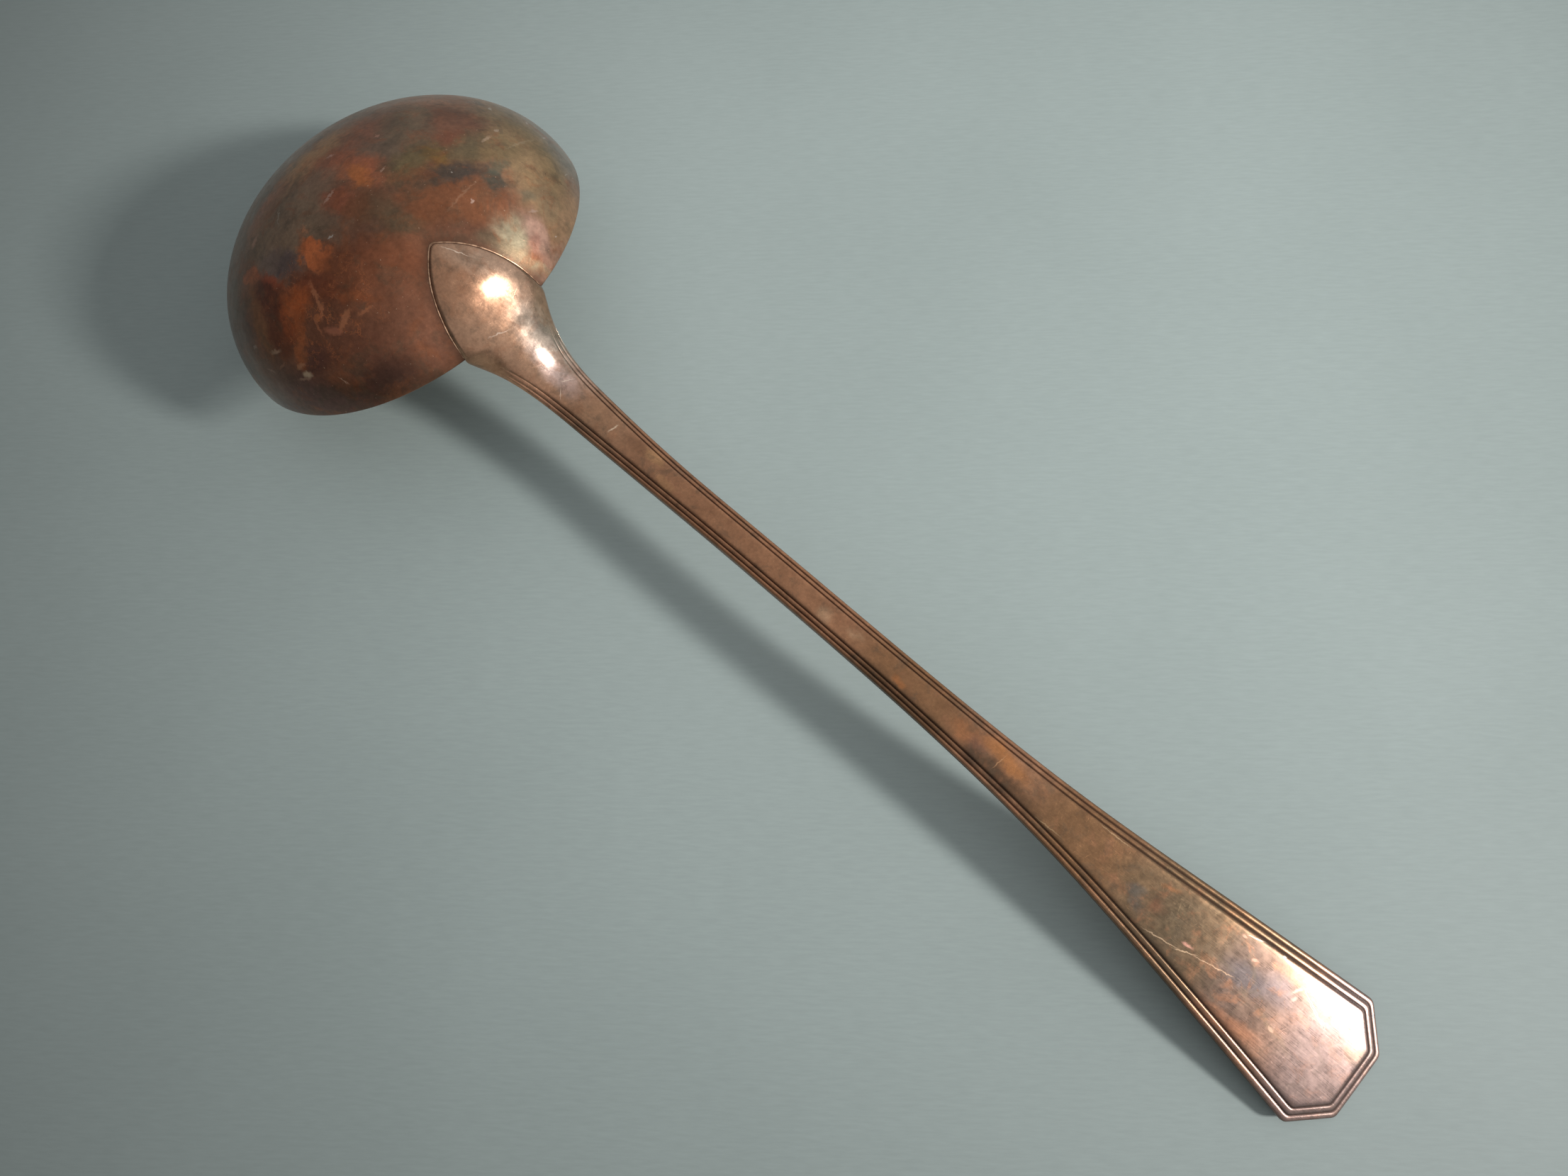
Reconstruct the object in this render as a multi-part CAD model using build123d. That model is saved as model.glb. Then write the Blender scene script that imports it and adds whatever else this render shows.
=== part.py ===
from build123d import *
import os
from math import cos, radians, sin

# A soup ladle, lying face down: the far side of the rim and the end of the handle
# touch the table. Millimetres. +Z is up, +X runs from the bowl to the end of the
# handle, and the XZ plane is the plane of symmetry. The shapes are drawn with x = 0
# under the centre of the rim, and the last lines move them so that the origin is at
# the bottom centre of the whole.

# Bowl: half an ellipsoid of pressed sheet, cut off flat at the rim.
bowl_radius = 47.7            # outside, at the rim
bowl_depth = 33.8             # outside, from the rim plane to the crown
bowl_wall = 1.3
rim_tilt = 24.7               # degrees; the handle's side of the rim is raised

# Handle, side view. The upper surface leaves the rim along the wall of the bowl.
# Two hollow arcs and one long crowned arc take it to the end.
solder_film = 0.15            # between the bowl and the heel of the handle
heel_root = 2.2               # from the bowl to the upper surface, at the rim
heel_crown = 0.8              # the same, measured at the crown of the bowl
heel_reach = 52.0             # degrees round the bowl's section, past the point
neck_radius = 23.1
neck_turn = 50.8              # degrees
sweep_radius = 132.0
sweep_turn = 16.3
stem_radius = 646.4
stem_turn = -17.0             # a little past the end, where the outline cuts it off
stem_thickness = 2.8
tip_thickness = 2.3

# Handle, seen from above: distance from the middle of the rim, and half the width.
heel_point = (25.6, 0.0)
heel_side = (33.0, 7.7)
rim_corner = (42.3, 12.2)
neck_flank = [(46.6, 9.0), (53.6, 6.6), (65.0, 5.5), (82.0, 4.85)]
stem_flank = [(125.0, 4.5), (173.0, 5.0), (206.0, 6.85), (241.0, 11.1)]
shoulder = (276.5, 16.0)
end_corner = (284.4, 8.0)

# Two lines cut round the edge of the handle, on both faces.
line_insets = (1.1, 2.35)     # from the edge to the outer side of each line
line_width = 0.35
line_depth = 0.3
line_start = 62.0             # x where the lines run out, at the neck
cut_clearance = 0.2           # how far a cutter stands out of the metal

bead_width = 0.5              # solder that shows round the heel
reach = 120.0                 # more than any height or half width of the ladle
heel_limit = 50.0             # x between the heel and the neck

across_rim = Vector(cos(radians(rim_tilt)), sin(radians(rim_tilt)))
out_of_bowl = Vector(sin(radians(rim_tilt)), -cos(radians(rim_tilt)))
rim_centre = Vector(0, bowl_radius * sin(radians(rim_tilt)))
bowl_axis = Axis((0, 0, rim_centre.Y), (-out_of_bowl.X, 0, -out_of_bowl.Y))


def closed_face(*edges):
    """The face inside a loop of edges."""
    return make_face(Wire(list(edges)))


def between(low, high):
    """The face between two runs of edges that go the same way."""
    near = Line(high[0] @ 0, low[0] @ 0)
    far = Line(low[-1] @ 1, high[-1] @ 1)
    return closed_face(*low, far, *high, near)


def turned(face):
    """A face of the side view turned round the bowl's axis, with its seam at the back."""
    return revolve(Plane.XZ * face, axis=bowl_axis).rotate(bowl_axis, 180)


def wall_arc(grow_radius, grow_depth, last):
    """The bowl's section, grown outwards, from the rim to the angle last."""
    radius = bowl_radius + grow_radius
    depth = bowl_depth + grow_depth
    return EllipticalCenterArc(rim_centre, radius, depth, 0, arc_size=last, rotation=rim_tilt)


def below(edge, depth):
    """The point under the far end of an edge, square to it."""
    return edge @ 1 + (edge % 1).rotate(Axis.Z, -90) * depth


def upper_run(lift=0.0):
    """Neck, sweep and stem of the upper surface, lifted square to itself."""
    root = rim_centre + across_rim * (bowl_radius + heel_root + lift)
    neck = JernArc(root, out_of_bowl, neck_radius - lift, neck_turn)
    sweep = JernArc(neck @ 1, neck % 1, sweep_radius - lift, sweep_turn)
    stem = JernArc(sweep @ 1, sweep % 1, stem_radius + lift, stem_turn)
    return [neck, sweep, stem]


def lower_run(lift=0.0):
    """Sweep and stem of the lower surface, lifted square to itself."""
    neck, _, stem = upper_run()
    thickness = stem_thickness - lift
    sweep = JernArc(below(neck, thickness), neck % 1, sweep_radius + thickness, sweep_turn)
    stem_end = below(stem, tip_thickness - lift)
    return [sweep, TangentArc(sweep @ 1, stem_end, tangent=sweep % 1)]


def handle_section():
    """The whole handle in the side view, from the heel to past the end."""
    heel = wall_arc(heel_root, heel_crown, heel_reach)
    seat = wall_arc(solder_film, solder_film, heel_reach)
    upper = upper_run()
    lower = lower_run()
    inner_neck = Spline(seat @ 0, lower[0] @ 0, tangents=(out_of_bowl, lower[0] % 0))
    end = Line(lower[-1] @ 1, upper[-1] @ 1)
    return closed_face(heel, *upper, end, *lower, inner_neck, seat, Line(seat @ 1, heel @ 1))


def drawn_in(corners, inset):
    """The corners between the first and the last, moved so that every side is drawn in."""
    moved = []
    for before, corner, after in zip(corners, corners[1:], corners[2:]):
        arriving = (Vector(corner) - Vector(before)).normalized().rotate(Axis.Z, 90)
        leaving = (Vector(after) - Vector(corner)).normalized().rotate(Axis.Z, 90)
        moved.append(Vector(corner) - (arriving + leaving) * inset / (1 + arriving.dot(leaving)))
    return moved


def side_run(inset=0.0):
    """One side of the handle seen from above, from the rim to the middle of the end."""
    past_middle = (end_corner[0], -end_corner[1])
    corners = [rim_corner, *neck_flank, *stem_flank, shoulder, end_corner, past_middle]
    *flank, clip_start, clip_end = drawn_in([heel_point, *corners], inset)
    end_middle = (clip_end.X, 0)
    return [Spline(*flank, clip_start), Line(clip_start, clip_end), Line(clip_end, end_middle)]


def both_sides(half):
    """The face inside a run of edges and its mirror image."""
    run = Wire(half)
    return closed_face(*run.edges(), *mirror(run, Plane.XZ).edges())


def heel_arc(grow=0.0):
    """One side of the heel seen from above, from its point to the corner at the rim."""
    wider = Vector(0, grow)
    return ThreePointArc(Vector(heel_point) - (grow, 0), wider + heel_side, wider + rim_corner)


def outline():
    """The handle seen from above."""
    return both_sides([heel_arc(), *side_run()])


def panel(inset):
    """The handle past the rim seen from above, drawn in from its edge."""
    run = side_run(inset)
    start = run[0] @ 0
    return both_sides([Line((start.X, 0), start), *run])


def upright(face):
    """A face seen from above, made taller than the ladle."""
    return extrude(face, reach)


def bowl():
    """The pressed bowl: the space between two half ellipsoids."""
    outer = wall_arc(0, 0, 90)
    inner = wall_arc(-bowl_wall, -bowl_wall, 90)
    half = revolve(Plane.XZ * between([inner], [outer]), axis=bowl_axis, revolution_arc=180)
    return half + mirror(half, Plane.XZ)


def solder_joint():
    """The film of solder under the heel, and the bead that shows round it."""
    inner = wall_arc(0, 0, heel_reach)
    outer = wall_arc(solder_film, solder_film, heel_reach)
    edge = heel_arc(bead_width)
    closing = [Line(edge @ 1, (heel_limit, (edge @ 1).Y))]
    closing.append(Line(closing[0] @ 1, (heel_limit, 0)))
    return turned(between([inner], [outer])) & upright(both_sides([edge, *closing]))


def line_rings():
    """The two lines seen from above, from the neck to the end of the handle."""
    past_neck = Pos(line_start + reach, 0, 0) * Box(2 * reach, reach, 2 * reach)
    rings = []
    for inset in line_insets:
        ring = panel(inset) - panel(inset + line_width)
        rings.append(upright(ring) & past_neck)
    return rings


def line_layers():
    """A layer of the upper and one of the lower surface, as deep as the lines."""
    upper = between(upper_run(-line_depth)[1:], upper_run(cut_clearance)[1:])
    lower = between(lower_run(-cut_clearance), lower_run(line_depth))
    return [turned(upper), turned(lower)]


def handle():
    """The forged handle with its heel, cut to its outline and lined."""
    forging = turned(handle_section()) & upright(outline())
    for ring in line_rings():
        for layer in line_layers():
            forging -= ring & layer
    return forging


pieces = {"bowl": bowl(), "handle": handle(), "solder_joint": solder_joint()}
ladle = Compound(list(pieces.values())).bounding_box()
to_origin = Pos(-ladle.center().X, 0, -ladle.min.Z)
os.makedirs("parts", exist_ok=True)
for name, piece in pieces.items():
    export_step(to_origin * piece, f"parts/{name}.step")
    print(name, round(piece.volume, 1), piece.is_valid, len(piece.solids()), piece.bounding_box())
print("overall", ladle.size)
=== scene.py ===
import math

import bmesh
import bpy
import numpy as np
from mathutils import Matrix, Vector


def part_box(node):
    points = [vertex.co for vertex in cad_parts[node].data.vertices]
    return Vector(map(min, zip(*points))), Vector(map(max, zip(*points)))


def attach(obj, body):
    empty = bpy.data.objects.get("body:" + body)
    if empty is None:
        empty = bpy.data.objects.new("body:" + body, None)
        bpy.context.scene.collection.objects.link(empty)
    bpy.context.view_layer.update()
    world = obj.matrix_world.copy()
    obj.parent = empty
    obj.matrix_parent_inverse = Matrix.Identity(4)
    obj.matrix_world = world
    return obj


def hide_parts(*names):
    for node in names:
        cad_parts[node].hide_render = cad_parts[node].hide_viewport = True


# The looks of a plated soup ladle, lying face down on a pale table. Lengths are in
# millimetres until a mesh, a lamp or the camera is made. x = 0 is under the centre of
# the bowl's rim, +X runs to the end of the handle and +Z is up.

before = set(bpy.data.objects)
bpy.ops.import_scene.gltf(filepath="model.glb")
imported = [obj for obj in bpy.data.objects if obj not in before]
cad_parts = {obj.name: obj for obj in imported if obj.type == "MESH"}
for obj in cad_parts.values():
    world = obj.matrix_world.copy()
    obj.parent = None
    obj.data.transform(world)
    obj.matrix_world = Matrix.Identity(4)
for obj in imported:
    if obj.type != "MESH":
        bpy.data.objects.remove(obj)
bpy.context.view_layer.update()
MM = 0.001

# The bowl and the handle's side view, as in the CAD model.
BOWL_RADIUS = 47.7
BOWL_DEPTH = 33.8
BOWL_WALL = 1.3
TILT = math.radians(24.7)
RIM_HEIGHT = BOWL_RADIUS * math.sin(TILT)
HEEL_ROOT = 2.2
HEEL_CROWN = 0.8
HEEL_REACH = math.radians(52)
NECK_RADIUS, NECK_TURN = 23.1, math.radians(50.8)
SWEEP_RADIUS, SWEEP_TURN = 132.0, math.radians(16.3)
STEM_RADIUS, STEM_TURN = -646.4, math.radians(-17.0)
THICKNESS_AT = [(42.3, 2.05), (60.0, 2.8), (200.0, 2.8), (284.4, 2.3)]

# The handle seen from above.
HEEL_POINT = (25.6, 0.0)
HEEL_SIDE = (33.0, 7.7)
RIM_CORNER = (42.3, 12.2)
FLANK = [RIM_CORNER, (46.6, 9.0), (53.6, 6.6), (65.0, 5.5), (82.0, 4.85), (125.0, 4.5),
         (173.0, 5.0), (206.0, 6.85), (241.0, 11.1), (276.5, 16.0)]
END_CORNER = (284.35, 8.0)

# Across the border of the upper surface. Each row is the distance from the edge on the stem and at
# the end, how far the surface is below the panel, and how much grime and painted shade it gets:
# dark in the grooves, and the top row's value also darkens the side wall as painted shade.
# Two threads step down to the edge, each with a groove inside it.
BORDER = [
    (0.00, 0.00, 1.22, 0.7), (0.05, 0.07, 1.02, 0.2), (0.14, 0.20, 0.86, 0.0),
    (0.27, 0.38, 0.76, 0.0), (0.42, 0.60, 0.70, 0.0), (0.58, 0.85, 0.68, 0.0),
    (0.72, 1.08, 0.70, 0.0), (0.81, 1.24, 0.75, 0.2), (0.88, 1.35, 0.84, 1.0),
    (0.94, 1.44, 0.84, 1.0), (1.00, 1.52, 0.72, 0.9), (1.08, 1.64, 0.58, 0.3),
    (1.18, 1.81, 0.47, 0.0), (1.32, 2.02, 0.395, 0.0), (1.48, 2.26, 0.36, 0.0),
    (1.63, 2.50, 0.345, 0.0), (1.75, 2.68, 0.365, 0.0), (1.83, 2.80, 0.41, 0.2),
    (1.89, 2.90, 0.50, 1.0), (1.95, 2.99, 0.50, 1.0), (2.01, 3.08, 0.38, 0.9),
    (2.09, 3.20, 0.24, 0.3), (2.20, 3.38, 0.12, 0.0), (2.36, 3.62, 0.04, 0.0),
    (2.55, 3.95, 0.01, 0.0), (2.80, 4.40, 0.0, 0.0)]
WIDER_FROM, WIDEST_FROM = 165.0, 275.0
EDGE_ROUND = 0.6
EDGE_DROP = 0.5
THREADS_FROM, THREADS_FULL = 46.0, 62.0
# How far the surface falls from the middle to the edge, by x.
CROWN = [(25.6, 0.7), (33.0, 1.0), (42.3, 1.4), (50.0, 1.75), (57.0, 1.35), (68.0, 0.7),
         (90.0, 0.3), (150.0, 0.12), (230.0, 0.16), (284.4, 0.35)]
# Half the handle's width by x, without its corners, and the share of it that from_edge
# gives on the middle line.
HALF_WIDTH = [(25.6, 12.0), (36.0, 12.2), (43.0, 11.6), (50.0, 8.8), (57.0, 6.6), (66.0, 5.6),
              (82.0, 4.9), *FLANK[5:], (284.4, 17.0)]
BOTH_SIDES = 0.5 ** (1 / 3)
# The surface is flatter across the rim than the CAD's: by this angle, over this distance.
EASE_TURN, EASE_REACH = 0.2, 8.0
# Across the border of the underside, in the same way, with its height over the middle.
FRONT = [
    (0.00, 0.00, 0.28, 0.7), (0.06, 0.09, 0.12, 0.3), (0.16, 0.24, 0.04, 0.0),
    (0.35, 0.50, 0.0, 0.0), (0.80, 1.20, 0.0, 0.2), (0.84, 1.26, 0.14, 1.0),
    (0.96, 1.44, 0.26, 1.0), (1.08, 1.62, 0.14, 1.0), (1.12, 1.68, 0.0, 0.2),
    (1.75, 2.62, 0.0, 0.2), (1.79, 2.68, 0.14, 1.0), (1.91, 2.86, 0.26, 1.0),
    (2.03, 3.04, 0.14, 1.0), (2.07, 3.10, 0.0, 0.2), (2.55, 3.70, 0.0, 0.0)]
# Where the rim's centre is in the frame.
BOWL_BACK = math.hypot(BOWL_RADIUS * math.cos(TILT), BOWL_DEPTH * math.sin(TILT))
RIM_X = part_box("bowl")[0].x / MM + BOWL_BACK


def smooth(value, low, high):
    """0 below low, 1 above high, and a smooth step between them."""
    t = np.clip((value - low) / (high - low), 0, 1)
    return t * t * (3 - 2 * t)


def spline_at(place, knots, values):
    """A natural cubic spline through values at the knots, read at each place."""
    gaps = np.diff(knots)
    size = len(knots)
    system = np.eye(size)
    right = np.zeros_like(values)
    right[1:-1] = 6 * np.diff(np.diff(values, axis=0) / gaps[:, None], axis=0)
    for i in range(1, size - 1):
        system[i, i - 1:i + 2] = gaps[i - 1], 2 * (gaps[i - 1] + gaps[i]), gaps[i]
    bend = np.linalg.solve(system, right)
    index = np.clip(np.searchsorted(knots, place) - 1, 0, size - 2)
    gap = gaps[index][:, None]
    read = 0
    for knot, other in ((index, index + 1), (index + 1, index)):
        share = np.abs(knots[other] - place)[:, None]
        read += bend[knot] * share ** 3 / (6 * gap)
        read += (values[knot] / gap - bend[knot] * gap / 6) * share
    return read


def table(value, rows):
    """Reads a short table of (place, value) rows, smoothly between them."""
    rows = np.array(rows, float)
    place = np.clip(np.ravel(value), rows[0, 0], rows[-1, 0])
    return spline_at(place, rows[:, 0], rows[:, 1:])[:, 0].reshape(np.shape(value))


def distance_along(points):
    """How far along a run of points each of them is."""
    return np.concatenate([[0], np.cumsum(np.hypot(*np.diff(points, axis=0).T))])


def directions(points, *places):
    """Unit vectors along a run of points, and square to it on its right."""
    ahead = np.gradient(points, *places, axis=0)
    ahead /= np.hypot(*ahead.T)[:, None]
    return ahead, np.stack([ahead[:, 1], -ahead[:, 0]], 1)


def read_at(place, places, columns):
    """The columns of a table, read at each place between its places."""
    return [np.interp(place, places, column) for column in columns.T]


# ---- side view of the handle

def arc(start, heading, radius, turn, step=0.25):
    """Points of an arc after its start, and the heading at its end. A minus radius turns right."""
    count = max(int(abs(radius * turn) / step), 2)
    angles = heading + turn * np.arange(1, count + 1) / count
    middle = np.array(start) + radius * np.array([-math.sin(heading), math.cos(heading)])
    points = middle - radius * np.stack([-np.sin(angles), np.cos(angles)], 1)
    return points, heading + turn


def side_view():
    """The upper surface in the bowl's section: (radius, height) above the rim plane."""
    heel = np.linspace(HEEL_REACH, 0, 240)
    runs = [np.stack([(BOWL_RADIUS + HEEL_ROOT) * np.cos(heel),
                      (BOWL_DEPTH + HEEL_CROWN) * np.sin(heel)], 1)]
    heading = -math.pi / 2
    for radius, turn in ((NECK_RADIUS, NECK_TURN), (SWEEP_RADIUS, SWEEP_TURN),
                         (STEM_RADIUS, STEM_TURN)):
        points, heading = arc(runs[-1][-1], heading, radius, turn)
        runs.append(points)
    points = np.concatenate(runs)
    gone = distance_along(points)
    return points, gone - gone[len(heel) - 1]


SIDE, ALONG = side_view()
SLOPE = np.gradient(SIDE, ALONG, axis=0)
UPRIGHT = np.stack([-SLOPE[:, 1], SLOPE[:, 0]], 1)


def read_side(along, columns):
    """Columns of the side view's tables at each distance along it."""
    return read_at(along, ALONG, columns)


def turned_up(forward, across, height):
    """From the bowl's own axes to x, y, z."""
    x = forward * math.cos(TILT) - height * math.sin(TILT)
    z = RIM_HEIGHT + forward * math.sin(TILT) + height * math.cos(TILT)
    return np.stack([x, across, z], -1)


def in_frame(radial, across, height):
    """Points at a distance from the bowl's tilted axis: x, y, z."""
    forward = np.sqrt(np.maximum(radial ** 2 - across ** 2, 0))
    return turned_up(forward, across, height)


def lifted(along, across, lift):
    """Points at a height over the handle's upper surface, square to its side view."""
    radial, height = read_side(along, SIDE)
    out, up = read_side(along, UPRIGHT)
    return in_frame(radial + lift * out, across, height + lift * up)


MIDDLE_X = in_frame(SIDE[:, 0], np.zeros(len(SIDE)), SIDE[:, 1])[:, 0]


def x_of(along):
    """x on the middle line."""
    return np.interp(along, ALONG, MIDDLE_X)


def threads_at(along):
    """How much of the border's threads there is, from none at the neck to all on the stem."""
    return smooth(x_of(along), THREADS_FROM, THREADS_FULL)


def edge_fall(along):
    """How far the upper surface has fallen from its middle to its edge."""
    threads = threads_at(along)
    return table(x_of(along), CROWN) + threads * BORDER[0][2] + (1 - threads) * EDGE_DROP


def along_of(x, across):
    """How far along the side view a point of the edge is, from where it is seen from above."""
    edge = lifted(ALONG, np.full(len(ALONG), across), -edge_fall(ALONG))
    return np.interp(x, edge[:, 0], ALONG)


# ---- outline of the handle

def spline(points, count=1200):
    """A natural cubic spline through a few points, as many points."""
    points = np.array(points, float)
    knots = distance_along(points)
    return spline_at(np.linspace(0, knots[-1], count), knots, points)


def circle_through(a, b, c, count=400):
    """Points of the arc from a through b to c."""
    a, b, c = np.array([a, b, c])
    middle = np.linalg.solve(2 * np.array([b - a, c - a]), [b @ b - a @ a, c @ c - a @ a])
    first, last = (math.atan2(*(end - middle)[::-1]) for end in (a, c))
    angles = np.linspace(first, last, count)
    return middle + math.dist(a, middle) * np.stack([np.cos(angles), np.sin(angles)], 1)


class Side:
    """One side of the outline between two corners, laid flat: distance along, distance across."""

    def __init__(self, plan, spacing):
        flat = np.array([(along_of(x, y), y) for x, y in plan])
        self.flat = flat
        self.gone = distance_along(flat)
        ahead, self.inward = directions(flat, self.gone)
        self.heading = np.unwrap(np.arctan2(ahead[:, 1], ahead[:, 0]))
        length = self.gone[-1]
        density = 1 / table(self.gone, [(part * length, gap) for part, gap in spacing])
        steps = (density[1:] + density[:-1]) / 2 * np.diff(self.gone)
        total = np.concatenate([[0], np.cumsum(steps)])
        count = max(int(round(total[-1])), 4)
        self.parts = np.interp(np.linspace(0, total[-1], count + 1), total, self.gone) / length

    def drawn_in(self, on_stem, at_end, turn_before, turn_after):
        """Its points moved inwards, shortened where it meets its neighbours."""
        length = self.gone[-1]
        x = x_of(np.interp(self.parts * length, self.gone, self.flat[:, 0]))
        inset = on_stem + (at_end - on_stem) * smooth(x, WIDER_FROM, WIDEST_FROM)
        first = inset[0] * math.tan(turn_before / 2)
        last = inset[-1] * math.tan(turn_after / 2)
        place = first + self.parts * (length - first - last)
        points = np.stack(read_at(place, self.gone, self.flat), 1)
        inward = np.stack(read_at(place, self.gone, self.inward), 1)
        return points + inward * inset[:, None]


def outline_sides():
    """The four sides of the outline, from the heel's point to the middle of the end."""
    clip = [FLANK[-1], END_CORNER]
    end = [END_CORNER, (END_CORNER[0], 0)]
    straight = [np.linspace(a, b, 60) for a, b in (clip, end)]
    return [
        Side(circle_through(HEEL_POINT, HEEL_SIDE, RIM_CORNER), [(0, 0.3), (0.3, 0.5), (1, 0.35)]),
        Side(spline(FLANK), [(0, 0.35), (0.12, 0.8), (0.3, 1.6), (0.8, 1.4), (1, 0.4)]),
        Side(straight[0], [(0, 0.35), (0.5, 0.5), (1, 0.35)]),
        Side(straight[1], [(0, 0.4), (1, 0.6)]),
    ]


SIDES = outline_sides()
CORNER_TURNS = [2 * (math.pi / 2 - SIDES[0].heading[0])]
CORNER_TURNS += [a.heading[-1] - b.heading[0] for a, b in zip(SIDES, SIDES[1:])] + [0.0]
SIDE_COUNTS = [len(side.parts) - 1 for side in SIDES]
END_START = sum(SIDE_COUNTS[:3])
HALF = sum(SIDE_COUNTS)
# How far along the ring a corner is softened, in points, and how many times.
POINT_SOFT = (6, 14)
CORNER_SOFT = (4, 5)


def rounded(loop, corner, reach, passes):
    """Softens the loop near one of its corners."""
    size = len(loop)
    near = np.abs((np.arange(size) - corner + size // 2) % size - size // 2)
    weight = (smooth(reach - near, 0, reach) * 0.5)[:, None]
    for _ in range(passes):
        mean = (np.roll(loop, 1, 0) + np.roll(loop, -1, 0)) / 2
        loop = loop + (mean - loop) * weight
    return loop


def ring(on_stem, at_end):
    """The outline drawn in, laid flat, as a closed loop that starts at the heel's point."""
    runs = [side.drawn_in(on_stem, at_end, before, after)
            for side, before, after in zip(SIDES, CORNER_TURNS, CORNER_TURNS[1:])]
    for a, b in zip(runs, runs[1:]):
        a[-1] = b[0] = (a[-1] + b[0]) / 2
    half = np.concatenate([run[:-1] for run in runs] + [runs[-1][-1:]])
    half[0, 1] = half[-1, 1] = 0
    other = half[-2:0:-1] * [1, -1]
    loop = np.concatenate([half, other])
    loop = rounded(loop, 0, *POINT_SOFT)
    for corner in (SIDE_COUNTS[0], END_START - SIDE_COUNTS[2], END_START):
        for place in (corner, len(loop) - corner):
            loop = rounded(loop, place, *CORNER_SOFT)
    return loop


OUTLINE = ring(0.0, 0.0)
# Parts of each of the ring's sides, and how many places are read at once.
EDGE_PARTS, BATCH = 8, 1000
# Nearer to the edge than the first the distance is exact, and past the second smooth.
SOFT_FROM = (0.3, 0.8)


def from_edge(flat):
    """A smooth measure of how far points are from the edge all round them."""
    loop = np.concatenate([OUTLINE, OUTLINE[:1]])
    sides = np.diff(loop, axis=0)
    parts = np.arange(EDGE_PARTS) / EDGE_PARTS
    dense = (loop[:-1, None] + sides[:, None] * parts[:, None]).reshape(-1, 2)
    length = np.repeat(np.hypot(*sides.T) / EDGE_PARTS, EDGE_PARTS)
    nearest, spread = np.empty(len(flat)), np.empty(len(flat))
    for first in range(0, len(flat), BATCH):
        batch = slice(first, first + BATCH)
        gap = ((flat[batch, None] - dense[None]) ** 2).sum(2)
        nearest[batch] = np.sqrt(gap.min(1))
        spread[batch] = (length / np.maximum(gap, 1e-4) ** 2).sum(1)
    soft = (spread / (math.pi / 2)) ** (-1 / 3)
    return nearest + (soft - nearest) * smooth(nearest, *SOFT_FROM)


# ---- cross section of the handle

# Rows of faces between the two borders, the gap between the heel and the bowl, and the
# height of the underside's border without threads.
WALL_STEPS, HEEL_GAP, SHALLOW = 4, 0.1, 0.1


def heel_thickness(along):
    """From the bowl up to the heel's upper surface."""
    radial, height = read_side(along, SIDE)
    angle = np.arctan2(height / (BOWL_DEPTH + HEEL_CROWN), radial / (BOWL_RADIUS + HEEL_ROOT))
    out, up = read_side(along, UPRIGHT)
    return HEEL_ROOT * np.cos(angle) * out + HEEL_CROWN * np.sin(angle) * up


def thickness(along):
    """From the underside up to the upper surface, at the middle."""
    stem = table(x_of(along), THICKNESS_AT)
    return np.where(along < 0, heel_thickness(along) - HEEL_GAP, stem)


def crown_drop(flat):
    """How far the crowned upper surface has fallen away from its middle line."""
    along = flat[:, 0]
    x = x_of(along)
    inside = np.clip(from_edge(flat) / (BOTH_SIDES * table(x, HALF_WIDTH)), 0, 1)
    eased = EASE_TURN * along * np.exp(-(along / EASE_REACH) ** 2)
    return table(x, CROWN) * (1 - inside) ** 2 - eased * inside


def upper(flat, inset, step):
    """Points of the upper surface. Step is the border's drop at that inset."""
    threads = threads_at(flat[:, 0])
    plain = EDGE_DROP * max(0.0, 1 - inset / EDGE_ROUND) ** 2
    drop = crown_drop(flat) + threads * step + (1 - threads) * plain
    return lifted(flat[:, 0], flat[:, 1], -drop)


def lower(flat, inset, rise):
    """Points of the underside. Rise is the border's height. The inset isn't used."""
    along, across = flat.T
    shallow = np.minimum(rise, SHALLOW)
    raised = shallow + (rise - shallow) * threads_at(along)
    return lifted(along, across, raised - thickness(along))


def grid(loop):
    """Rows across the inside of a ring, from its heel to its end, laid flat."""
    rows = []
    columns = 2 * (HALF - END_START)
    for along, across in loop[:END_START]:
        row = np.linspace(across, -across, columns + 1)
        rows.append(np.stack([np.full(columns + 1, along), row], 1))
    rows.append(loop[END_START:END_START + columns + 1])
    return np.array(rows)


def add_object(name, data):
    """A new object in the scene."""
    thing = bpy.data.objects.new(name, data)
    bpy.context.scene.collection.objects.link(thing)
    return thing


# Points nearer to each other than this are one.
WELD = 0.002


class MeshParts:
    """Collects strips of faces, and makes one welded, smooth-shaded mesh object of them."""

    def __init__(self):
        self.points = []
        self.grime_and_shade = []
        self.faces = []

    def strip(self, rows, grime_and_shade=None, closed=False, flip=False):
        """Faces between rows of points. Closed joins each row's end to its start."""
        rows = np.asarray(rows)
        first = len(self.points)
        count, size = rows.shape[:2]
        self.points.extend(rows.reshape(-1, 3))
        self.grime_and_shade.extend(np.zeros(count * size) if grime_and_shade is None else np.ravel(grime_and_shade))
        for r in range(count - 1):
            for c in range(size if closed else size - 1):
                d = (c + 1) % size
                face = [first + r * size + c, first + r * size + d,
                        first + (r + 1) * size + d, first + (r + 1) * size + c]
                self.faces.append(face[::-1] if flip else face)

    def build(self, name):
        mesh = bpy.data.meshes.new(name)
        places = (np.array(self.points) + [RIM_X, 0, 0]) * MM
        mesh.from_pydata(places.tolist(), [], self.faces)
        mesh.attributes.new("grime_and_shade", "FLOAT", "POINT").data.foreach_set("value", self.grime_and_shade)
        shape = bmesh.new()
        shape.from_mesh(mesh)
        bmesh.ops.remove_doubles(shape, verts=shape.verts, dist=WELD * MM)
        bmesh.ops.dissolve_degenerate(shape, edges=shape.edges, dist=WELD * MM / 4)
        bmesh.ops.recalc_face_normals(shape, faces=shape.faces)
        shape.to_mesh(mesh)
        shape.free()
        mesh.shade_smooth()
        return add_object(name, mesh)


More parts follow.
